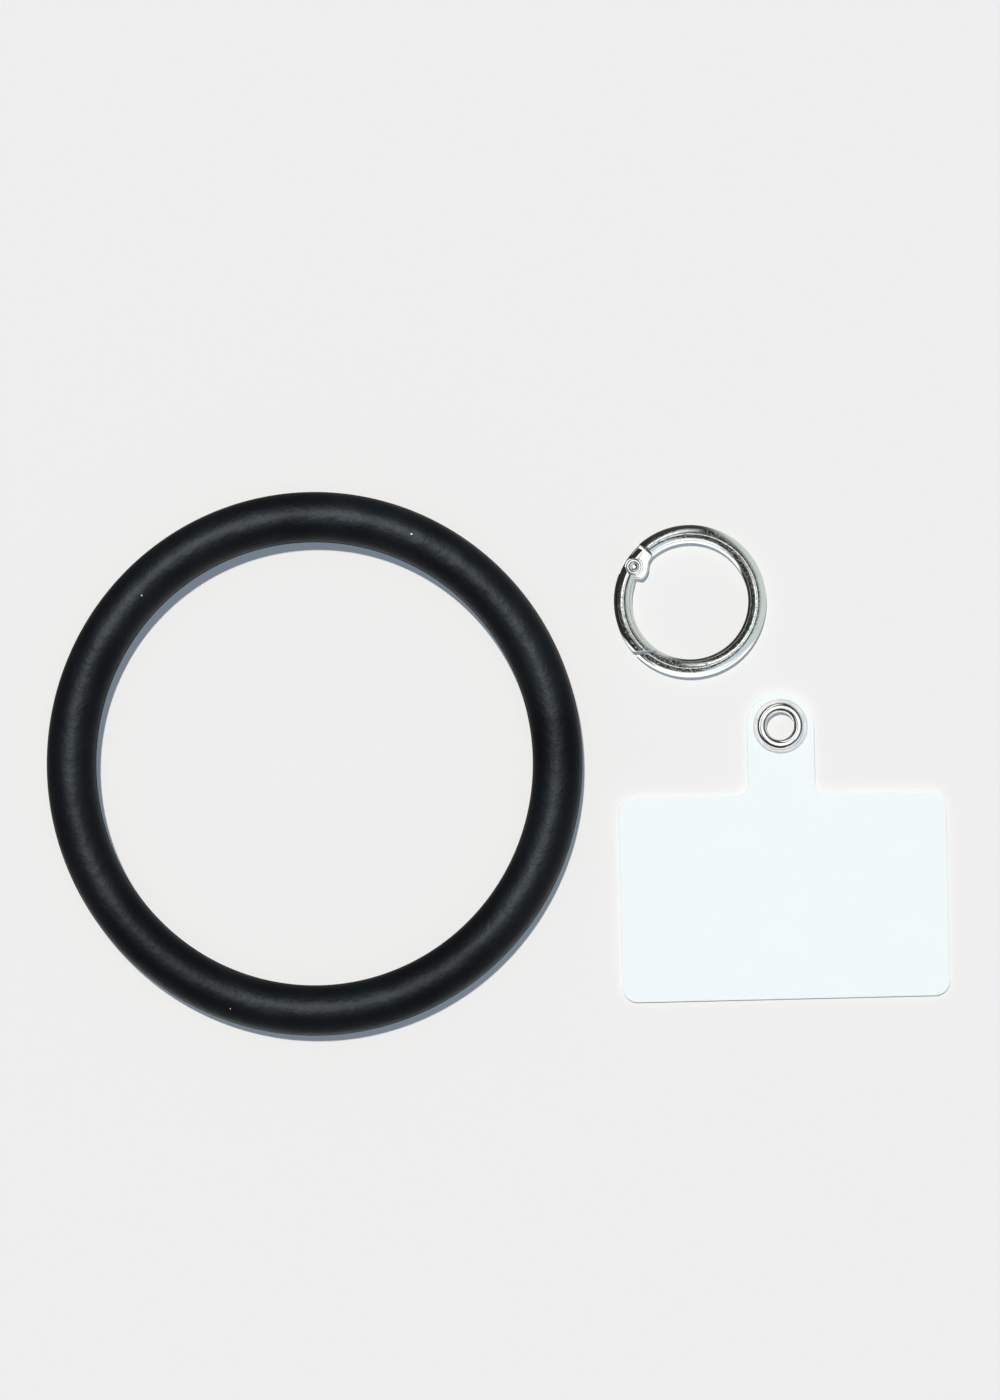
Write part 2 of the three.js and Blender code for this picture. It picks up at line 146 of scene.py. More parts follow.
# The place of the table under the camera, the height at which its frame is measured, and half
# the side of the table top (m)
CAMERA_OVER = (0.00012, 0.01044)
FRAMED_LEVEL = 0.002
TABLE_HALF = 3.0

# What shiny things mirror: each patch of the room, as its brightness and its sides. A side is
# a direction of the picture (right, up), and how far a round thing's normal leans that way
# where the patch starts and where it is whole
DARK_ROOM = (0.035, 0.036, 0.028)
WALLS = (
    ((0.06, 0.065, 0.06), ((0, 1), 0.60, 0.85)),
    ((0.70, 0.76, 0.74), ((1, 0), 0.14, 0.46)),
    (
        (0.66, 0.80, 0.92),
        ((0.71, -0.71), 0.20, 0.28), ((0, -1), 0.06, 0.14),
        ((1, 0), 0.50, 0.32), ((1, 0), 0.04, 0.16),
    ),
    ((1.40, 1.43, 1.41), ((0, -1), 0.42, 0.54)),
    (
        (1.60, 1.64, 1.62),
        ((0.95, -0.32), -0.26, -0.20), ((0.95, -0.32), -0.05, -0.10),
        ((0.32, 0.95), -0.20, -0.06), ((0.32, 0.95), 0.66, 0.14),
    ),
    (
        (1.60, 1.63, 1.64),
        ((1, 0), -0.026, -0.010), ((1, 0), 0.066, 0.050),
        ((0, 1), -0.042, -0.026), ((0, 1), 0.050, 0.034),
    ),
)


def linear(code):
    """The linear RGB of an sRGB hex colour such as "#c8c8c0"."""
    shown = np.array([int(code[i : i + 2], 16) for i in (1, 3, 5)]) / 255
    flat = np.where(shown <= 0.04045, shown / 12.92, ((shown + 0.055) / 1.055) ** 2.4)
    return tuple(flat.tolist())


def length(name, description, default):
    """A length that a user can change, in metres."""
    return bpy.props.FloatProperty(
        name=name, description=description, default=default, min=0.0, subtype="DISTANCE",
        unit="LENGTH", precision=5,
    )


def amount(name, description, default, top=1.0):
    """A number from 0 to a top value."""
    return bpy.props.FloatProperty(
        name=name, description=description, default=default, min=0.0, max=top
    )


def colour(name, description, code):
    """A colour given by its sRGB hex."""
    return bpy.props.FloatVectorProperty(
        name=name, description=description, default=linear(code), size=3, min=0.0, max=1.0,
        subtype="COLOR",
    )


class BangleSettings(bpy.types.PropertyGroup):
    """Sizes and finish of the silicone bangle."""

    inner_width: length("Inner Width", "Across the hole from side to side", 0.0716)
    inner_length: length("Inner Length", "Across the hole from top to bottom", 0.0728)
    section: length("Section", "Diameter of the round section", 0.0079)
    ridge_height: length("Ridge Height", "How far the parting line stands proud", 0.00012)
    ridge_width: length("Ridge Width", "Width of the parting line's ridge", 0.00045)
    silicone: colour("Silicone", "Colour of the rubber", "#06080c")
    bloom: colour("Bloom", "Paler patches of dust and bloom on the rubber", "#0c1015")
    roughness: amount("Roughness", "How matte the rubber is", 0.52)


class RingSettings(bpy.types.PropertyGroup):
    """Sizes and finish of the gate ring."""

    diameter: length("Diameter", "Across the outside of the ring", 0.025)
    section: length("Section", "Diameter of the hoop's round section", 0.00295)
    grain: length("Casting Grain", "Spacing of the casting's crinkles under the plating", 0.00024)
    nickel: colour("Nickel", "Colour of the plating", "#e8e9e7")
    roughness: amount("Roughness", "How blurred the plating's reflections are", 0.12)


class TabSettings(bpy.types.PropertyGroup):
    """Sizes and finish of the phone tab."""

    width: length("Width", "Across the sheet", 0.0538)
    length: length("Length", "Along the sheet, without its neck", 0.0335)
    thickness: length("Thickness", "Gauge of the sheet", 0.0007)
    plastic: colour("Plastic", "Colour of the milky sheet", "#e2edf5")
    # Painted glow along the tab's cut edge, where light leaves the sheet
    rim: colour("Painted Edge Glow", "Colour along the cut edge, where light leaves the sheet", "#f8f8f8")
    roughness: amount("Roughness", "How matte the sheet is", 0.42)


class EyeletSettings(bpy.types.PropertyGroup):
    """Sizes and finish of the eyelet."""

    hole: length("Hole", "Diameter of the hole through the eyelet", 0.0046)
    curl: length("Curl Diameter", "Across the rolled edge", 0.0077)
    nickel: colour("Nickel", "Colour of the plating", "#edecea")
    roughness: amount("Roughness", "How blurred the plating's reflections are", 0.13)


class StageSettings(bpy.types.PropertyGroup):
    """The table, the lights and the camera."""

    table: colour("Table", "Colour of the table top", "#cacaca")
    glow: colour("Glow", "Light that the table's opal sheet gives off", "#697580")
    key_energy: amount("Key Energy", "Brightness of the key light", 4.6, 20.0)
    key_colour: colour("Key Colour", "Colour of the key light", "#e8e0d7")
    shine_energy: amount("Shine Energy", "Brightness of the light on the rubber", 20.0, 99.0)
    shine_colour: colour("Shine Colour", "Colour of the light on the rubber", "#eaf8ff")
    key_tilt: bpy.props.FloatProperty(
        name="Key Tilt", description="How far the key light stands from overhead",
        default=math.radians(17), subtype="ANGLE", unit="ROTATION",
    )
    key_side: bpy.props.FloatProperty(
        name="Key Side", description="Where the key light stands, counter-clockwise from the right",
        default=math.radians(110), subtype="ANGLE", unit="ROTATION",
    )
    ambient: colour("Ambient", "Light that comes from the whole room", "#566069")
    camera_height: length("Camera Height", "From the table to the camera", 0.9)
    frame_height: length("Frame Height", "What the picture shows from top to bottom", 0.2295)


# Meshes


def heading(degrees):
    """The unit vector of the plan at an angle from the right."""
    return np.array([math.cos(math.radians(degrees)), math.sin(math.radians(degrees))])


def wrapped(rows, columns, close_rows=True):
    """Quads of a grid whose columns join up, and whose rows do too where close_rows is true."""
    row = np.arange(rows if close_rows else rows - 1)[:, None]
    column = np.arange(columns)[None, :]
    after, beside = (row + 1) % rows, (column + 1) % columns
    corners = (
        row * columns + column, row * columns + beside,
        after * columns + beside, after * columns + column,
    )
    return np.stack(corners, -1).reshape(-1, 4)


def volume(points, faces):
    """Six times the volume inside the faces, as the sum of a.(b x c) over their triangles."""
    total = 0.0
    for block in faces:
        for k in range(1, block.shape[1] - 1):
            a, b, c = points[block[:, 0]], points[block[:, k]], points[block[:, k + 1]]
            total += float((a * np.cross(b, c)).sum())
    return total


def add_piece(name, points, faces, material, body, node, normals=None, tags=None):
    """Makes a piece from points in millimetres, which stands for a CAD node and rides on a body.

    faces is a list of blocks of faces with equal corners. They are turned about where the
    volume that they bound comes out negative, so that they face outwards.
    """
    faces = [np.asarray(block) for block in faces]
    if volume(points - points.mean(0), faces) < 0:
        faces = [block[:, ::-1] for block in faces]
    mesh = bpy.data.meshes.new(name)
    mesh.from_pydata((points * MM).tolist(), [], [f for block in faces for f in block.tolist()])
    mesh.materials.append(material)
    mesh.shade_smooth()
    for tag, values in (tags or {}).items():
        mesh.attributes.new(tag, "FLOAT", "POINT").data.foreach_set("value", values)
    if normals is not None:
        mesh.normals_split_custom_set_from_vertices(normals.tolist())
    piece = bpy.data.objects.new(name, mesh)
    bpy.context.scene.collection.objects.link(piece)
    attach(piece, body)
    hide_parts(node)
    return piece


def place(points, matrix):
    """Points moved by a 4 by 4 matrix, each as M p."""
    m = np.array(matrix)
    return points @ m[:3, :3].T + m[:3, 3]


def arc(centre, radii, start, end, count, square=1.0):
    """Points of a rounded arc, centre + (a |cos t|^q, b |sin t|^q) with their signs kept.

    t runs from start to end degrees. Where q, given as square, is 1 the arc is an ellipse's,
    and where it is less the arc is flatter at its sides and top.
    """
    t = np.radians(np.linspace(start, end, count))
    c, s = np.cos(t), np.sin(t)
    across, up = np.sign(c) * np.abs(c) ** square, np.sign(s) * np.abs(s) ** square
    return np.stack([centre[0] + radii[0] * across, centre[1] + radii[1] * up], 1)


def refined(path, spacing):
    """A path's points with more between them, evenly, where they stand wider apart."""
    path = np.asarray(path, float)
    far = np.hypot(*np.diff(path, axis=0).T)
    keep = np.concatenate([[True], far > 1e-6])
    path = path[keep]
    far = np.hypot(*np.diff(path, axis=0).T)
    counts = np.maximum(1, np.ceil(far / spacing).astype(int))
    steps = np.concatenate([np.linspace(i, i + 1, n, endpoint=False) for i, n in enumerate(counts)])
    steps = np.append(steps, len(path) - 1)
    index = np.arange(len(path))
    return np.stack([np.interp(steps, index, path[:, k]) for k in (0, 1)], 1)


def turned(profile, steps):
    """A profile turned about the upright: (r, h) goes to (r cos a, r sin a, h) at every angle a.

    A profile that starts and ends on the axis is closed there with a fan at each pole, and any
    other is taken as a closed loop.
    """
    profile = np.asarray(profile, float)
    angles = np.linspace(0, 2 * math.pi, steps, endpoint=False)
    poles = profile[0, 0] < 1e-9 and profile[-1, 0] < 1e-9
    rows = profile[1:-1] if poles else profile
    r, h = rows[:, :1], rows[:, 1:]
    points = np.stack([r * np.cos(angles), r * np.sin(angles), h + 0 * angles], -1).reshape(-1, 3)
    faces = [wrapped(len(rows), steps, close_rows=not poles)]
    if poles:
        ring = np.arange(steps)
        beside = (ring + 1) % steps
        last = (len(rows) - 1) * steps
        low, high = len(points), len(points) + 1
        points = np.vstack([points, [0, 0, profile[0, 1]], [0, 0, profile[-1, 1]]])
        faces.append(np.stack([beside, ring, low + 0 * ring], 1))
        faces.append(np.stack([last + ring, last + beside, high + 0 * ring], 1))
    return points, faces


# Solids given by distance: each is negative inside, and rounds its edges to a radius


def joined(a, b, radius):
    """Both solids together, with a fillet in the corner between them."""
    corner = np.hypot(np.maximum(radius - a, 0), np.maximum(radius - b, 0))
    return np.maximum(radius, np.minimum(a, b)) - corner


def common(a, b, radius):
    """What both solids share, with the edge between their faces rounded."""
    corner = np.hypot(np.maximum(radius + a, 0), np.maximum(radius + b, 0))
    return np.minimum(-radius, np.maximum(a, b)) + corner


def skin(field, radii, turns, heights):
    """The surface where a distance field is zero, found on a grid of radius, angle and height.

    Each cell of the grid that the surface crosses gets one point, at the mean of the crossings
    on its edges. Each edge that crosses joins the points of the four cells round it in a quad.
    The points then move down the field's slope g by f g / |g|^2, onto the surface itself,
    four times and by at most 0.04 mm along each axis.
    Returns the points, the quads and the surface's own normals g / |g|.
    """
    r, t, z = np.meshgrid(radii, turns, heights, indexing="ij")
    value = field(r * np.cos(t), r * np.sin(t), z)
    cells = np.array(value.shape) - 1
    spots, owners = [], []
    for axis in range(3):
        low, high = [slice(None)] * 3, [slice(None)] * 3
        low[axis], high[axis] = slice(None, -1), slice(1, None)
        a, b = value[tuple(low)], value[tuple(high)]
        at = np.argwhere((a < 0) != (b < 0))
        a, b = a[tuple(at.T)], b[tuple(at.T)]
        spot = at.astype(float)
        spot[:, axis] += a / (a - b)
        second, third = (axis + 1) % 3, (axis + 2) % 3
        around = []
        for back, down in ((1, 1), (0, 1), (0, 0), (1, 0)):
            cell = at.copy()
            cell[:, second] -= back
            cell[:, third] -= down
            around.append(np.ravel_multi_index(cell.T, cells))
        around = np.stack(around, 1)
        around[a >= 0] = around[a >= 0][:, ::-1]
        owners.append(around.ravel())
        spots.append(np.repeat(spot, 4, axis=0))
    spots, owners = np.concatenate(spots), np.concatenate(owners)
    index = np.unique(owners, return_inverse=True)[1].ravel()
    many = np.bincount(index)
    mean = np.stack([np.bincount(index, weights=spots[:, k]) / many for k in range(3)], 1)
    r, t, z = (
        np.interp(mean[:, k], np.arange(len(line)), line)
        for k, line in enumerate((radii, turns, heights))
    )
    points = np.stack([r * np.cos(t), r * np.sin(t), z], 1)
    for _ in range(4):
        f, g = field(*points.T), slope(field, points)
        move = g * (f / np.maximum((g**2).sum(1), 1e-6))[:, None]
        points -= np.clip(move, -0.04, 0.04)
    g = slope(field, points)
    return points, index.reshape(-1, 4), g / np.linalg.norm(g, axis=1, keepdims=True)


def slope(field, points, reach=0.004):
    """The field's gradient, from its values a little way off along each axis."""
    parts = []
    for axis in np.eye(3) * reach:
        parts.append((field(*(points + axis).T) - field(*(points - axis).T)) / (2 * reach))
    return np.stack(parts, 1)


def spaced(*stretches):
    """Grid lines through stretches given as (start, end, greatest spacing)."""
    lines = [np.linspace(a, b, max(2, int(math.ceil(abs(b - a) / s)) + 1)) for a, b, s in stretches]
    return np.unique(np.concatenate(lines).round(6))


# Bangle


def bangle_mesh(s):
    """A round section carried round an oval loop.

    The point at angle a round the loop and b round the section is
    ((R + q cos b) cos a, k (R + q cos b) sin a, q sin b), where R is the loop's radius, k its
    length over its width, and q the section's radius plus the parting line's ridge, which is
    h cos^2 of the way from the ridge's middle to its foot.
    """
    inner, section = s.inner_width / MM, s.section / MM
    loop = (inner + section) / 2
    stretch = (s.inner_length / MM + section) / (inner + section)
    radius = section / 2
    half = s.ridge_width / MM / 2 / radius
    ridge = np.linspace(-half, half, 9)[:-1]
    side = np.linspace(half, math.pi - half, 49)[:-1]
    around = np.concatenate([ridge, side, ridge + math.pi, side + math.pi])
    off = np.abs((around + math.pi / 2) % math.pi - math.pi / 2)
    bump = np.cos(np.clip(off / half, 0, 1) * math.pi / 2) ** 2
    q = radius + s.ridge_height / MM * bump
    angles = np.linspace(0, 2 * math.pi, BANGLE_STEPS, endpoint=False)[:, None]
    out = loop + q * np.cos(around)
    points = np.stack(
        [
            BANGLE_CENTRE[0] + out * np.cos(angles),
            BANGLE_CENTRE[1] + stretch * out * np.sin(angles),
            radius + q * np.sin(around) + 0 * angles,
        ],
        -1,
    )
    faces = [wrapped(BANGLE_STEPS, len(around))]
    return points.reshape(-1, 3), faces, np.tile(bump, BANGLE_STEPS)


# Gate ring


def ring_places(s):
    """Radii and points of the ring's plan, from its diameter and section."""
    section = s.section / MM / 2
    loop = s.diameter / MM / 2 - section
    pin = heading(PIN_ANGLE) * (loop - PIN_INSET)
    nose = heading(NOSE_ANGLE) * (loop - section)
    cam_angle = PIN_ANGLE + math.degrees(CAM_OFF / loop)
    cam = heading(cam_angle) * loop
    return section, loop, pin, nose, cam


def from_pin(x, y, pin):
    """Plan places from the pin: along the tail, across it inwards, and straight distance."""
    tail, inwards = heading(PIN_ANGLE - 90), heading(PIN_ANGLE - 180)
    dx, dy = x - pin[0], y - pin[1]
    along = dx * tail[0] + dy * tail[1]
    across = dx * inwards[0] + dy * inwards[1]
    return along, across, np.hypot(dx, dy)


def past(x, y, point, degrees):
    """How far a plan place lies past a line through a point, in the line's facing."""
    facing = heading(degrees)
    return (x - point[0]) * facing[0] + (y - point[1]) * facing[1]


def ring_body_field(s):
    """Distance to the hoop without its gate, with the hinge's tongue and the latch face.

    The hoop is hypot(hypot(x, y) - R, z) - r. Near the hinge it ends at two planes that lean
    away from the pin as they leave the middle, and near the latch at one upright plane. The
    tongue is the plan of a lobe and a shank, between two heights.
    """
    section, loop, pin, nose, cam = ring_places(s)
    shoulder = pin + heading(SHOULDER_FACING) * SHOULDER_REACH
    start = nose + heading(LATCH_FACING) * LATCH_GAP
    lean = math.radians(SHOULDER_BEVEL)
    length = SHOULDER_REACH + section
    flush = loop + math.sqrt(section**2 - TONGUE_HALF**2)

    def field(x, y, z):
        out = np.hypot(x, y)
        # The turn jumps back by 360 at 205 degrees, which the gate covers
        turn = (np.degrees(np.arctan2(y, x)) + 155) % 360 - 155
        along, across, far = from_pin(x, y, pin)
        hoop = np.hypot(out - loop, z) - section
        beyond = past(x, y, shoulder, SHOULDER_FACING)
        at_hinge = np.abs(z) * math.sin(lean) - beyond * math.cos(lean)
        at_latch = -past(x, y, start, LATCH_FACING + LATCH_FLARE)
        cut = np.where(turn > 60, at_hinge, np.where(turn < -60, at_latch, -3.0))
        edge = np.where(turn > 60, 0.16, 0.07)
        hoop = common(hoop, cut, edge)
        middle = (SHANK_INNER_HALF - LOBE_RADIUS) / 2
        wide = (SHANK_INNER_HALF + LOBE_RADIUS) / 2
        qx, qy = np.abs(along - length / 2) - length / 2, np.abs(across - middle) - wide
        shank = np.hypot(np.maximum(qx, 0), np.maximum(qy, 0)) + np.minimum(np.maximum(qx, qy), 0)
        plan = joined(far - LOBE_RADIUS, shank, 0.35)
        plan = common(plan, out - flush, 0.12)
        plan = common(plan, past(x, y, cam, BORE_FACING), 0.1)
        tongue = common(plan, np.abs(z) - TONGUE_HALF, TONGUE_EDGE)
        whole = joined(hoop, tongue, 0.14)
        return common(whole, PIN_RADIUS + PIN_CLEARANCE - far, 0.05)

    return field


def gate_field(s):
    """Distance to the gate: an arc of the hoop, with the tail, ears, bosses, slot and bore."""
    section, loop, pin, nose, cam = ring_places(s)
    bore = heading(BORE_FACING)

    def field(x, y, z):
        out = np.hypot(x, y)
        along, across, far = from_pin(x, y, pin)
        high = np.abs(z)
        hoop = np.hypot(out - loop, z) - section
        tail = common(across - TAIL_INNER_HALF, along - TAIL_REACH, TAIL_CORNER)
        plan = joined(along, tail, 0.05)
        arc_part = common(hoop, past(x, y, nose, LATCH_FACING), 0.06)
        body = common(arc_part, plan, 0.14)
        # The edge of the tail's end is rounded more than the others
        tail_end = np.maximum(along - TAIL_REACH, hoop)
        body = np.where(along > 1.5, common(body, common(tail_end, hoop, 0.4), 0.02), body)
        pocket = common(far - POCKET_RADIUS, EAR_TOP - high, 0.03)
        body = common(body, -pocket, 0.05)
        ear = common(far - EAR_RADIUS, high - EAR_TOP, 0.11)
        boss = common(far - BOSS_RADIUS, high - BOSS_TOP, 0.12)
        body = joined(joined(body, ear, 0.08), boss, 0.05)
        opening = np.minimum(-along, far - SLOT_RADIUS)
        body = common(body, -np.maximum(high - SLOT_HALF, opening), 0.05)
        dx, dy = x - cam[0], y - cam[1]
        down = dx * bore[0] + dy * bore[1]
        off = np.hypot(dx * bore[1] - dy * bore[0], z)
        hole = np.maximum(off - BORE_RADIUS, np.abs(down - BORE_DEPTH / 2) - BORE_DEPTH / 2)
        body = common(body, -hole, 0.04)
        shaft = PIN_RADIUS + PIN_CLEARANCE
        # Near its mouths the pin's bore widens, to let the rivet's heads in
        countersink = np.clip((high - 1.045) / 0.25, 0, 1) * 0.2
        return common(body, (shaft + countersink - far) * 0.8, 0.04)

    return field


def ring_body_mesh(s):
    """The skin of the hoop and tongue, on a grid that is finer at the hinge and the latch."""
    section, loop, *_ = ring_places(s)
    radii = spaced((loop - 2.9, loop + section + 0.12, 0.061))
    heights = spaced((-section - 0.12, section + 0.12, 0.061))
    turns = np.radians(spaced((-139, -116, 0.31), (-116, 112, 1.5), (112, 163, 0.31)))
    return skin(ring_body_field(s), radii, turns, heights)


def gate_mesh(s):
    """The skin of the gate, on a grid that is finer at the hinge and the latch."""
    section, loop, *_ = ring_places(s)
    radii = spaced((loop - 1.95, loop + section + 0.12, 0.052))
    heights = spaced((-section - 0.12, section + 0.12, 0.054))
    turns = np.radians(spaced((129, 166, 0.28), (166, 221, 1.4), (221, 240, 0.28)))
    return skin(gate_field(s), radii, turns, heights)


def hinge_pin_mesh():
    """A rivet turned about the pin's line, with a peened head and a dished middle at each end."""
    head = [
        (0.6, 1.095), (0.70, 1.19), (0.79, 1.27), (0.8, 1.3), (0.79, 1.34), (0.75, 1.38),
        (0.70, 1.4), (0.62, 1.4), (0.58, 1.385), (0.34, 1.25), (0.29, 1.24), (0.0, 1.24),
    ]
    top = refined(head, 0.03)
    bottom = top[::-1] * (1, -1)
    shaft = refined([(0.6, -1.095), (0.6, 1.095)], 0.2)[1:-1]
    return turned(np.vstack([bottom, shaft, top]), 96)


def spring_mesh(s):
    """A coil of round wire: a small circle carried round a helix.

    The helix is (w/2 + (L - w) u, c cos(2 pi n u), c sin(2 pi n u)), for u from 0 to 1. Each
    circle stands across the helix's own direction, and a fan closes each end.
    """
    *_, cam = ring_places(s)
    rows, columns = SPRING_TURNS * 40 + 1, 14
    u = np.linspace(0, 1, rows)[:, None]
    c = (SPRING_DIAMETER - SPRING_WIRE) / 2
    turn = 2 * math.pi * SPRING_TURNS
    spin = turn * u
    travel = SPRING_LENGTH - SPRING_WIRE
    middle = np.hstack([SPRING_WIRE / 2 + travel * u, c * np.cos(spin), c * np.sin(spin)])
    out = np.hstack([0 * u, np.cos(spin), np.sin(spin)])
    ahead = np.hstack([travel + 0 * u, -c * turn * np.sin(spin), c * turn * np.cos(spin)])
    ahead /= np.linalg.norm(ahead, axis=1, keepdims=True)
    side = np.cross(ahead, out)
    a = np.linspace(0, 2 * math.pi, columns, endpoint=False)[None, :, None]
    wire = SPRING_WIRE / 2
    tube = middle[:, None] + wire * (np.cos(a) * out[:, None] + np.sin(a) * side[:, None])
    points = np.vstack([tube.reshape(-1, 3), middle[:1], middle[-1:]])
    ring = np.arange(columns)
    beside, last = (ring + 1) % columns, (rows - 1) * columns
    fans = [
        np.stack([beside, ring, rows * columns + 0 * ring], 1),
        np.stack([last + ring, last + beside, rows * columns + 1 + 0 * ring], 1),
    ]
    start = cam + heading(BORE_FACING) * SPRING_SEAT_GAP
    seat = Matrix.Translation((*start, 0)) @ Matrix.Rotation(math.radians(BORE_FACING), 4, "Z")
    return place(points, seat), [wrapped(rows, columns, close_rows=False), *fans]


def as_cast(points, s):
    """How much of the casting's skin is left, from 0 to 1.

    It is none near the hinge's pin and all from 4.6 mm off, and it fades from the crown, where
    |z| is the section's radius, to the sides, which are buffed.
    """
    section, _, pin, *_ = ring_places(s)
    far = np.hypot(points[:, 0] - pin[0], points[:, 1] - pin[1])
    crown = np.clip((np.abs(points[:, 2]) / section - 0.72) / 0.2, 0.1, 1)
    return np.clip((far - 3.0) / 1.6, 0.02, 1) * crown


def on_table(points, s):
    """Points about the ring's own middle, moved to where the ring lies."""
    return points + np.array([*RING_CENTRE, s.section / MM / 2])


# Tab and eyelet, in the tab's own frame: its neck points along +Y and its underside is at 0


def tab_frame():
    """How the tab lies: tipped about X by the eyelet's flange, then turned on the table."""
    lie = Euler((math.radians(TAB_TIP), 0, math.radians(TAB_TURN)), "XYZ")
    return Matrix.Translation(TAB_CENTRE) @ lie.to_matrix().to_4x4()


def tab_outline(s):
    """Points and outward normals of the tab's plan, anticlockwise.

    Each round is centre + r (cos t, sin t). At the neck's foot the rounds are hollow, so their
    normals point to their centres. The straight sides are filled with points between them.
    """
    w, h = s.width / MM / 2, s.length / MM / 2
    c, f, n = TAB_CORNER, NECK_FILLET, NECK_HALF
    rounds = [
        ((w - c, -h + c), c, -90, 0), ((w - c, h - c), c, 0, 90),
        ((n + f, h + f), -f, -90, -180), ((0, EYELET_Y), n, 0, 180),
        ((-n - f, h + f), -f, 0, -90), ((-w + c, h - c), c, 90, 180),
        ((-w + c, -h + c), c, 180, 270),
    ]
    points, normals = [], []
    for middle, r, start, end in rounds:
        count = 97 if r == n else 33
        t = np.radians(np.linspace(start, end, count))
        direction = np.stack([np.cos(t), np.sin(t)], 1)
        points.append(np.array(middle) + abs(r) * direction)
        normals.append(direction * np.sign(r))
    points, normals = np.vstack(points), np.vstack(normals)
    far = np.hypot(*(np.roll(points, -1, 0) - points).T)
    counts = np.maximum(1, np.ceil(far / 0.8).astype(int))
    steps = np.concatenate([np.linspace(i, i + 1, n, endpoint=False) for i, n in enumerate(counts)])
    index = np.arange(len(points) + 1)
    both = np.hstack([points, normals])
    both = np.vstack([both, both[:1]])
    return np.split(np.stack([np.interp(steps, index, both[:, k]) for k in range(4)], 1), 2, axis=1)


def tab_mesh(s):
    """A sheet between two heights, with its outline and its hole rounded over at both faces.

    Down the edge, a row at angle t of the upper round lies e (1 - sin t) inside the outline and
    e (1 - cos t) below the face, and the lower round mirrors it.
    """
    top = s.thickness / MM
    t = np.linspace(0, math.pi / 2, 7)
    inset = TAB_EDGE * (1 - np.sin(t))
    drop = TAB_EDGE * (1 - np.cos(t))
    inset = np.concatenate([inset, inset[::-1]])
    height = np.concatenate([top - drop, drop[::-1]])
    out = np.concatenate([np.sin(t), np.sin(t)[::-1]])
    up = np.concatenate([np.cos(t), -np.cos(t)[::-1]])
    plan, facing = tab_outline(s)
    a = np.linspace(0, 2 * math.pi, 160, endpoint=False)
    round_ = np.stack([np.cos(a), np.sin(a)], 1)
    hole = np.array([0, EYELET_Y]) + TAB_HOLE * round_
    points, normals, faces, rims, count = [], [], [], [], 0
    for line, outward in ((plan, facing), (hole, -round_)):
        rows = line[None] - outward[None] * inset[:, None, None]
        leaning = outward[None] * out[:, None, None]
        level = np.ones((1, len(line), 1))
        rows = np.concatenate([rows, height[:, None, None] * level], -1)
        normal = np.concatenate([leaning, up[:, None, None] * level], -1)
        points.append(rows.reshape(-1, 3))
        normals.append(normal.reshape(-1, 3))
        faces.append(wrapped(len(inset), len(line), close_rows=False)[:, ::-1] + count)
        rims.append((count, count + (len(inset) - 1) * len(line), len(line)))
        count += rows.shape[0] * rows.shape[1]
    faces[1] = faces[1][:, ::-1]
    points, normals = np.vstack(points), np.vstack(normals)
    for which, flip in ((0, False), (1, True)):
        index = np.concatenate([np.arange(r[which], r[which] + r[2]) for r in rims])
        loops = [[Vector(points[r[which] + i]) for i in range(r[2])] for r in rims]
        cap = index[np.array(geometry.tessellate_polygon(loops))]
        corners = points[cap]
        rise = np.cross(corners[:, 1] - corners[:, 0], corners[:, 2] - corners[:, 0])[:, 2]
        cap[(rise < 0) != flip] = cap[(rise < 0) != flip][:, ::-1]
        faces.append(cap)
    return points, faces, normals


def eyelet_mesh(s):
    """A flange, a barrel and a rolled edge, one profile turned about the hole's line.

    The profile runs up the bore over the roll, an arc of an ellipse, back under it at the
    wall's thickness, and down the barrel to the flange.
    """
    bore, curl = s.hole / MM / 2, s.curl / MM / 2
    middle, half = (bore + curl) / 2, (curl - bore) / 2
    rim = (FLANGE_TOP - FLANGE_BOTTOM) / 2
    lip = EYELET_WALL / 2
    profile = np.vstack(
        [
            arc((bore + MOUTH, FLANGE_BOTTOM + MOUTH), (MOUTH, MOUTH), 180, 270, 12),
            arc((FLANGE_RADIUS - rim, FLANGE_BOTTOM + rim), (rim, rim), -90, 90, 18),
            arc((bore + EYELET_WALL + 0.05, FLANGE_TOP + 0.05), (0.05, 0.05), 270, 180, 5),
            arc((middle, CURL_FOOT), (half - EYELET_WALL, CURL_RISE - EYELET_WALL), 180, 0, 30),
            arc((curl - lip, CURL_FOOT), (lip, 0.02), 180, 360, 7),
            arc((middle, CURL_FOOT), (half, CURL_RISE), 0, 180, 72, square=0.6),
        ]
    )
    profile = refined(np.vstack([profile, profile[:1]]), 0.12)[:-1]
    return turned(profile, 240)


def washer_mesh():
    """A flat ring with its outer edge rolled down, turned about the hole's line."""
    e, inner = WASHER_EDGE, TAB_HOLE
    profile = np.vstack(
        [
            arc((inner + 0.04, WASHER_BOTTOM + 0.04), (0.04, 0.04), 180, 270, 5),
            arc((WASHER_RADIUS - 0.05, WASHER_BOTTOM + 0.05), (0.05, 0.05), -90, 0, 6),
            arc((WASHER_RADIUS - e, WASHER_TOP - e), (e, e), 0, 90, 14),
            arc((inner + 0.06, WASHER_TOP - 0.06), (0.06, 0.06), 90, 180, 6),
        ]
    )
    profile = refined(np.vstack([profile, profile[:1]]), 0.2)[:-1]
    return turned(profile, 240)


def over_tab(points):
    """Points about the eyelet's line, moved to the eyelet's place on the tab as it lies."""
    return place(points + np.array([0, EYELET_Y, 0]), tab_frame())


# Materials


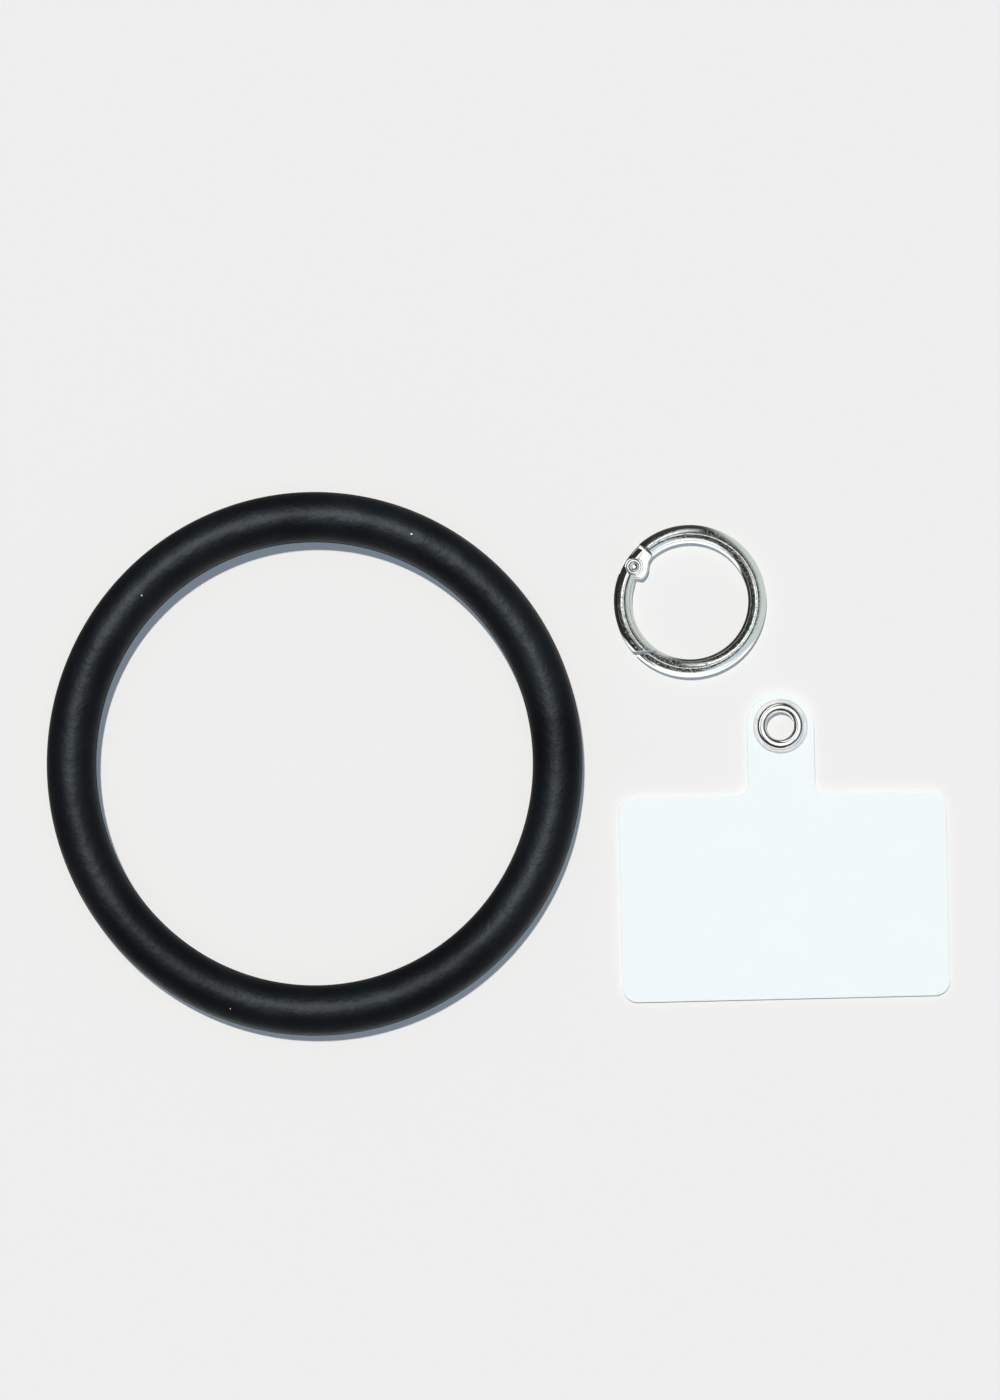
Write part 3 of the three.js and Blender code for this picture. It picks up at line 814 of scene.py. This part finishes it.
def add_node(tree, kind, inputs=None, **settings):
    """Adds a node with its settings, and fills its inputs with values or with links.

    The settings come first, because they say which inputs and outputs are in use. A node that
    is given as an input is linked by the first of its outputs in use.
    """
    node = tree.nodes.new(kind)
    for name, value in settings.items():
        setattr(node, name, value)
    for key, value in (inputs or {}).items():
        if isinstance(value, bpy.types.Node):
            value = next(output for output in value.outputs if output.enabled)
        if isinstance(value, bpy.types.NodeSocket):
            tree.links.new(value, node.inputs[key])
        else:
            node.inputs[key].default_value = value
    return node


def new_material(name):
    """An empty material, its node tree and its Object coordinates."""
    material = bpy.data.materials.new(name)
    material.use_nodes = True
    tree = material.node_tree
    tree.nodes.clear()
    place_of = add_node(tree, "ShaderNodeTexCoord").outputs["Object"]
    return material, tree, place_of


def moulded_silicone(s):
    """Silicone rubber from a blasted steel mould.

    Matte, so its one highlight is broad and soft, and it pales towards its rims. The highlight
    wavers on slow waves that the moulding left. It holds dust: paler patches some centimetres
    long, and three pale bits of lint. The parting line's thin ridge is painted a little paler:
    a painted highlight where the ridge catches the light.
    """
    material, tree, place_of = new_material("moulded silicone rubber")
    patches = add_node(
        tree, "ShaderNodeTexNoise",
        {"Vector": place_of, "Scale": 1 / 0.018, "Detail": 3.0, "Roughness": 0.6},
    )
    spread = add_node(
        tree, "ShaderNodeMapRange", {"Value": patches, "From Min": 0.4, "From Max": 0.65}
    )
    shown = add_node(
        tree, "ShaderNodeMix", {"Factor": spread, "A": (*s.silicone, 1), "B": (*s.bloom, 1)},
        data_type="RGBA",
    )
    # Painted highlight: the parting line's ridge is painted paler where it catches the light
    seam = add_node(tree, "ShaderNodeAttribute", attribute_name="seam", attribute_type="GEOMETRY")
    seam_highlight = add_node(tree, "ShaderNodeMath", {0: seam.outputs["Fac"], 1: 0.7}, operation="MULTIPLY")
    shown = add_node(
        tree, "ShaderNodeMix", {"Factor": seam_highlight, "A": shown, "B": (*linear(SEAM_HIGHLIGHT_COLOUR), 1)},
        data_type="RGBA",
    )
    for x, y, z, size in LINT:
        far = add_node(
            tree, "ShaderNodeVectorMath", {0: place_of, 1: (x * MM, y * MM, z * MM)},
            operation="DISTANCE",
        )
        near = add_node(
            tree, "ShaderNodeMapRange",
            {
                "Value": far, "From Min": size * MM, "From Max": 1.8 * size * MM,
                "To Min": 1.0, "To Max": 0.0,
            },
        )
        shown = add_node(
            tree, "ShaderNodeMix", {"Factor": near, "A": shown, "B": (*linear(LINT_COLOUR), 1)},
            data_type="RGBA",
        )
    # Blasted grain, 0.24 mm apart: coarser than the real one, so that it shows
    grain = add_node(
        tree, "ShaderNodeTexNoise", {"Vector": place_of, "Scale": 1 / 0.00024, "Detail": 2.0}
    )
    # Waves left by the moulding, some millimetres long
    waves = add_node(
        tree, "ShaderNodeTexNoise",
        {"Vector": place_of, "Scale": 1 / 0.0034, "Detail": 4.0, "Roughness": 0.62},
    )
    slow = add_node(tree, "ShaderNodeBump", {"Height": waves, "Strength": 1.0, "Distance": 0.00023})
    bump = add_node(
        tree, "ShaderNodeBump",
        {"Height": grain, "Strength": 0.35, "Distance": 0.00002, "Normal": slow},
    )
    shine = add_node(
        tree, "ShaderNodeMapRange",
        {
            "Value": patches, "From Min": 0.35, "From Max": 0.65,
            "To Min": 0.045, "To Max": 0.078,
        },
    )
    shader = add_node(
        tree, "ShaderNodeBsdfPrincipled",
        {
            "Base Color": shown, "Roughness": s.roughness, "IOR": 1.42,
            "Specular IOR Level": shine, "Normal": bump, "Sheen Weight": 0.045,
            "Sheen Roughness": 0.45,
        },
    )
    add_node(tree, "ShaderNodeOutputMaterial", {"Surface": shader})
    return material


def plated(name, nickel, roughness, grain, crinkle, wave, as_cast=False, bloom=0.0):
    """Bright nickel over a metal that isn't quite smooth, or bright steel with none.

    Fine crinkles break up the highlights into sparks, and long waves bend the reflections a
    little. Where as_cast is true, the crinkles are grains left by the casting: they come and
    go, show along the crown and end near the hinge, which is milled smooth. The bloom is a
    matt white share; on the washer it is a painted reflection of the bright room that its
    flat face mirrors. Duller patches show where it is handled.
    """
    material, tree, place_of = new_material(name)
    fine = add_node(
        tree, "ShaderNodeTexNoise",
        {"Vector": place_of, "Scale": 1 / grain, "Detail": 3.0, "Roughness": 0.62},
    )
    broad = add_node(
        tree, "ShaderNodeTexNoise", {"Vector": place_of, "Scale": 1 / (6 * grain), "Detail": 1.0}
    )
    strength = 1.0
    if as_cast:
        strength = add_node(
            tree, "ShaderNodeAttribute", attribute_name="as_cast", attribute_type="GEOMETRY"
        ).outputs["Fac"]
        fine = add_node(
            tree, "ShaderNodeMapRange", {"Value": fine, "From Min": 0.56, "From Max": 0.68},
            interpolation_type="SMOOTHSTEP",
        )
    waves = add_node(
        tree, "ShaderNodeBump", {"Height": broad, "Strength": strength, "Distance": wave}
    )
    bump = add_node(
        tree, "ShaderNodeBump",
        {"Height": fine, "Strength": strength, "Distance": crinkle, "Normal": waves},
    )
    dull = add_node(
        tree, "ShaderNodeTexNoise", {"Vector": place_of, "Scale": 1 / 0.0021, "Detail": 3.0}
    )
    blur = add_node(
        tree, "ShaderNodeMapRange",
        {
            "Value": dull, "From Min": 0.35, "From Max": 0.7,
            "To Min": roughness * 0.8, "To Max": roughness * 1.35,
        },
    )
    tint = add_node(
        tree, "ShaderNodeMix",
        {"Factor": dull, "A": (*nickel, 1), "B": (*[0.93 * c for c in nickel], 1)},
        data_type="RGBA",
    )
    shader = add_node(
        tree, "ShaderNodeBsdfPrincipled",
        {"Base Color": tint, "Metallic": 1.0 - bloom, "Roughness": blur, "Normal": bump},
    )
    add_node(tree, "ShaderNodeOutputMaterial", {"Surface": shader})
    return material


def milky_sheet(s):
    """Frosted vinyl sheet, cut with a die.

    Milky white with a cold tint, and matte. Its cut edge is painted a little lighter, a
    painted glow where the light that enters the sheet comes out.
    """
    material, tree, place_of = new_material("frosted vinyl sheet")
    cloud = add_node(
        tree, "ShaderNodeTexNoise",
        {"Vector": place_of, "Scale": 1 / 0.011, "Detail": 4.0, "Roughness": 0.55},
    )
    cloudy = add_node(
        tree, "ShaderNodeMix",
        {"Factor": cloud, "A": (*s.plastic, 1), "B": (*[0.985 * c for c in s.plastic], 1)},
        data_type="RGBA",
    )
    edge = add_node(
        tree, "ShaderNodeAttribute", attribute_name="cut_edge", attribute_type="GEOMETRY"
    )
    # Painted glow: lighter colour along the cut edge, where light leaves the sheet
    base = add_node(
        tree, "ShaderNodeMix",
        {"Factor": edge.outputs["Fac"], "A": cloudy, "B": (*s.rim, 1)}, data_type="RGBA",
    )
    # Frosting, 0.3 mm apart: coarser than the real one, so that it shows
    frost = add_node(
        tree, "ShaderNodeTexNoise", {"Vector": place_of, "Scale": 1 / 0.0003, "Detail": 2.0}
    )
    bump = add_node(tree, "ShaderNodeBump", {"Height": frost, "Strength": 0.2, "Distance": 0.00001})
    shader = add_node(
        tree, "ShaderNodeBsdfPrincipled",
        {
            "Base Color": base, "Roughness": s.roughness, "IOR": 1.53, "Normal": bump,
            "Subsurface Weight": 0.25, "Subsurface Radius": (0.0006, 0.0007, 0.0008),
            "Subsurface Scale": 1.0,
        },
    )
    add_node(tree, "ShaderNodeOutputMaterial", {"Surface": shader})
    return material


def table_top(s):
    """Matte opal acrylic sheet, lit faintly from below: pale and even, with soft cool shadows."""
    material, tree, place_of = new_material("opal acrylic sheet")
    cloud = add_node(
        tree, "ShaderNodeTexNoise", {"Vector": place_of, "Scale": 1 / 0.002, "Detail": 2.0}
    )
    tint = add_node(
        tree, "ShaderNodeMix",
        {"Factor": cloud, "A": (*s.table, 1), "B": (*[0.995 * c for c in s.table], 1)},
        data_type="RGBA",
    )
    shader = add_node(
        tree, "ShaderNodeBsdfPrincipled",
        {
            "Base Color": tint, "Roughness": 0.95, "Specular IOR Level": 0.0,
            "Emission Color": (*s.glow, 1), "Emission Strength": 1.0,
        },
    )
    add_node(tree, "ShaderNodeOutputMaterial", {"Surface": shader})
    return material


# Stage


def studio_world(s):
    """Even room light, and the room that shiny things mirror.

    A mirror seen from overhead shows, where its normal is n, what lies in the direction
    d = 2 (n.z) n - z. So n = (d + z) / |d + z| says where on a round thing each part of the
    room shows: dark overhead but for a narrow strip of light and a small bright patch, a white
    wall below the picture, and a grey one to its right with a bluish patch low on it.
    """
    world = bpy.data.worlds.new("studio room")
    world.use_nodes = True
    tree = world.node_tree
    tree.nodes.clear()
    way = add_node(tree, "ShaderNodeTexCoord").outputs["Generated"]
    lifted = add_node(tree, "ShaderNodeVectorMath", {0: way, 1: (0, 0, 1)}, operation="ADD")
    unit = add_node(tree, "ShaderNodeVectorMath", {0: lifted}, operation="NORMALIZE")
    shade = (*DARK_ROOM, 1)
    for light, *sides in WALLS:
        mask = 1.0
        for direction, start, end in sides:
            lean = add_node(
                tree, "ShaderNodeVectorMath", {0: unit, 1: (*direction, 0)}, operation="DOT_PRODUCT"
            )
            side = add_node(
                tree, "ShaderNodeMapRange", {"Value": lean, "From Min": start, "From Max": end},
                interpolation_type="SMOOTHSTEP",
            )
            mask = add_node(tree, "ShaderNodeMath", {0: mask, 1: side}, operation="MULTIPLY")
        shade = add_node(
            tree, "ShaderNodeMix", {"Factor": mask, "A": shade, "B": (*light, 1)}, data_type="RGBA"
        )
    mirrored = add_node(tree, "ShaderNodeBackground", {"Color": shade, "Strength": 1.0})
    room = add_node(tree, "ShaderNodeBackground", {"Color": (*s.ambient, 1), "Strength": 1.0})
    glossy = add_node(tree, "ShaderNodeLightPath").outputs["Is Glossy Ray"]
    both = add_node(tree, "ShaderNodeMixShader", {0: glossy, 1: room, 2: mirrored})
    add_node(tree, "ShaderNodeOutputWorld", {"Surface": both})
    return world


class LANYARD_OT_bangle(bpy.types.Operator):
    """Make the silicone bangle"""

    bl_idname = "lanyard.bangle"
    bl_label = "Silicone Bangle"

    def execute(self, context):
        s = context.scene.lanyard_bangle
        points, faces, seam = bangle_mesh(s)
        add_piece(
            "silicone_bangle", points, faces, moulded_silicone(s), "lanyard", "bangle",
            tags={"seam": seam},
        )
        return {"FINISHED"}


class LANYARD_OT_ring(bpy.types.Operator):
    """Make the gate ring: hoop, gate, rivet and spring"""

    bl_idname = "lanyard.ring"
    bl_label = "Gate Ring"

    def execute(self, context):
        s = context.scene.lanyard_ring
        nickel = plated(
            "nickel on cast zinc", s.nickel, s.roughness, grain=s.grain, crinkle=0.000042,
            wave=0.000012, as_cast=True,
        )
        steel = plated(
            "nickel on a turned rivet", s.nickel, s.roughness, grain=0.0004, crinkle=0.000002,
            wave=0.0,
        )
        wire = plated(
            "drawn spring steel", linear(SPRING_COLOUR), 0.3, grain=0.0002, crinkle=0.000001,
            wave=0.0,
        )
        points, faces, normals = ring_body_mesh(s)
        add_piece(
            "cast_hoop", on_table(points, s), [faces], nickel, "lanyard", "ring_body",
            normals=normals, tags={"as_cast": as_cast(points, s)},
        )
        points, faces, normals = gate_mesh(s)
        add_piece(
            "cast_gate", on_table(points, s), [faces], nickel, "gate_arm", "gate",
            normals=normals, tags={"as_cast": as_cast(points, s)},
        )
        points, faces = hinge_pin_mesh()
        _, _, pin, _, cam = ring_places(s)
        add_piece(
            "hinge_rivet", on_table(points + np.array([*pin, 0]), s), faces, steel, "lanyard",
            "hinge_pin",
        )
        points, faces = spring_mesh(s)
        spring = add_piece(
            "coil_spring", on_table(points, s), faces, wire, "gate_arm", "gate_spring",
        )
        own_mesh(spring)
        return {"FINISHED"}


class LANYARD_OT_tab(bpy.types.Operator):
    """Make the phone tab"""

    bl_idname = "lanyard.tab"
    bl_label = "Phone Tab"

    def execute(self, context):
        s = context.scene.lanyard_tab
        points, faces, normals = tab_mesh(s)
        edge = np.hypot(normals[:, 0], normals[:, 1])
        lie = np.array(tab_frame())[:3, :3]
        add_piece(
            "vinyl_tab", place(points, tab_frame()), faces, milky_sheet(s), "lanyard", "tab",
            normals=normals @ lie.T, tags={"cut_edge": edge},
        )
        return {"FINISHED"}


class LANYARD_OT_eyelet(bpy.types.Operator):
    """Make the eyelet and its washer"""

    bl_idname = "lanyard.eyelet"
    bl_label = "Eyelet"

    def execute(self, context):
        s = context.scene.lanyard_eyelet
        relief = {"grain": 0.0005, "crinkle": 0.000002, "wave": 0.000004}
        bright = plated("nickel on stamped brass", s.nickel, s.roughness, **relief)
        # Painted reflection: the washer's matt white share stands in for the bright room that its
        # flat face mirrors
        dull = plated(
            "nickel with a painted white reflection", linear(WASHER_PAINTED_WHITE), 1.6 * s.roughness, bloom=0.62, **relief
        )
        for name, mesh, node, nickel in (
            ("rolled_eyelet", eyelet_mesh(s), "eyelet", bright),
            ("eyelet_ring", washer_mesh(), "eyelet_washer", dull),
        ):
            points, faces = mesh
            add_piece(name, over_tab(points), faces, nickel, "lanyard", node)
        return {"FINISHED"}


class LANYARD_OT_stage(bpy.types.Operator):
    """Set out the table, the lights and the camera"""

    bl_idname = "lanyard.stage"
    bl_label = "Table, Lights and Camera"

    def execute(self, context):
        s = context.scene.lanyard_stage
        scene = context.scene
        half = TABLE_HALF
        mesh = bpy.data.meshes.new("table_top")
        corners = [(-half, -half, 0), (half, -half, 0), (half, half, 0), (-half, half, 0)]
        mesh.from_pydata(corners, [], [(0, 1, 2, 3)])
        mesh.materials.append(table_top(s))
        table = bpy.data.objects.new("table_top", mesh)
        table.visible_glossy = False
        scene.collection.objects.link(table)
        for name, energy, tint, wide_angle in (
            ("key_light", s.key_energy, s.key_colour, 2.5),
            ("shine_light", s.shine_energy, s.shine_colour, 12.0),
        ):
            light = bpy.data.lights.new(name, "SUN")
            light.energy, light.color, light.angle = energy, tint, math.radians(wide_angle)
            lamp = bpy.data.objects.new(name, light)
            lamp.rotation_euler = Euler((0, s.key_tilt, s.key_side), "XYZ")
            scene.collection.objects.link(lamp)
        bpy.data.objects["key_light"].visible_glossy = False
        shine = bpy.data.objects["shine_light"]
        shine.visible_diffuse = False
        rubber = bpy.data.collections.new("rubber")
        rubber.objects.link(bpy.data.objects["silicone_bangle"])
        shine.light_linking.receiver_collection = rubber
        scene.world = studio_world(s)
        scene.view_settings.view_transform = "Standard"
        lens = bpy.data.cameras.new("camera")
        lens.sensor_fit = "AUTO"
        lens.sensor_width = 36.0
        lens.lens = lens.sensor_width * s.camera_height / s.frame_height
        lens.clip_start, lens.clip_end = 0.01, 20.0
        camera = bpy.data.objects.new("camera", lens)
        camera.location = (*CAMERA_OVER, s.camera_height + FRAMED_LEVEL)
        scene.collection.objects.link(camera)
        scene.camera = camera
        return {"FINISHED"}


class LANYARD_PT_pieces(bpy.types.Panel):
    """Lists the operators that make the lanyard and its stage"""

    bl_idname = "LANYARD_PT_pieces"
    bl_label = "Phone Bracelet Lanyard"
    bl_space_type = "VIEW_3D"
    bl_region_type = "UI"
    bl_category = "Lanyard"

    def draw(self, context):
        for operator in OPERATORS:
            self.layout.operator(operator.bl_idname)


SETTINGS = {
    "lanyard_bangle": BangleSettings,
    "lanyard_ring": RingSettings,
    "lanyard_tab": TabSettings,
    "lanyard_eyelet": EyeletSettings,
    "lanyard_stage": StageSettings,
}
OPERATORS = (
    LANYARD_OT_bangle, LANYARD_OT_ring, LANYARD_OT_tab, LANYARD_OT_eyelet, LANYARD_OT_stage,
)


def register():
    """Adds the settings, the operators and the panel to Blender."""
    for name, group in SETTINGS.items():
        bpy.utils.register_class(group)
        setattr(bpy.types.Scene, name, bpy.props.PointerProperty(type=group))
    for operator in OPERATORS:
        bpy.utils.register_class(operator)
    bpy.utils.register_class(LANYARD_PT_pieces)


def unregister():
    """Takes them out again."""
    bpy.utils.unregister_class(LANYARD_PT_pieces)
    for operator in reversed(OPERATORS):
        bpy.utils.unregister_class(operator)
    for name, group in reversed(SETTINGS.items()):
        delattr(bpy.types.Scene, name)
        bpy.utils.unregister_class(group)


def main():
    """Makes every piece and the stage."""
    register()
    bpy.ops.lanyard.bangle()
    bpy.ops.lanyard.ring()
    bpy.ops.lanyard.tab()
    bpy.ops.lanyard.eyelet()
    bpy.ops.lanyard.stage()


if __name__ == "__main__":
    main()
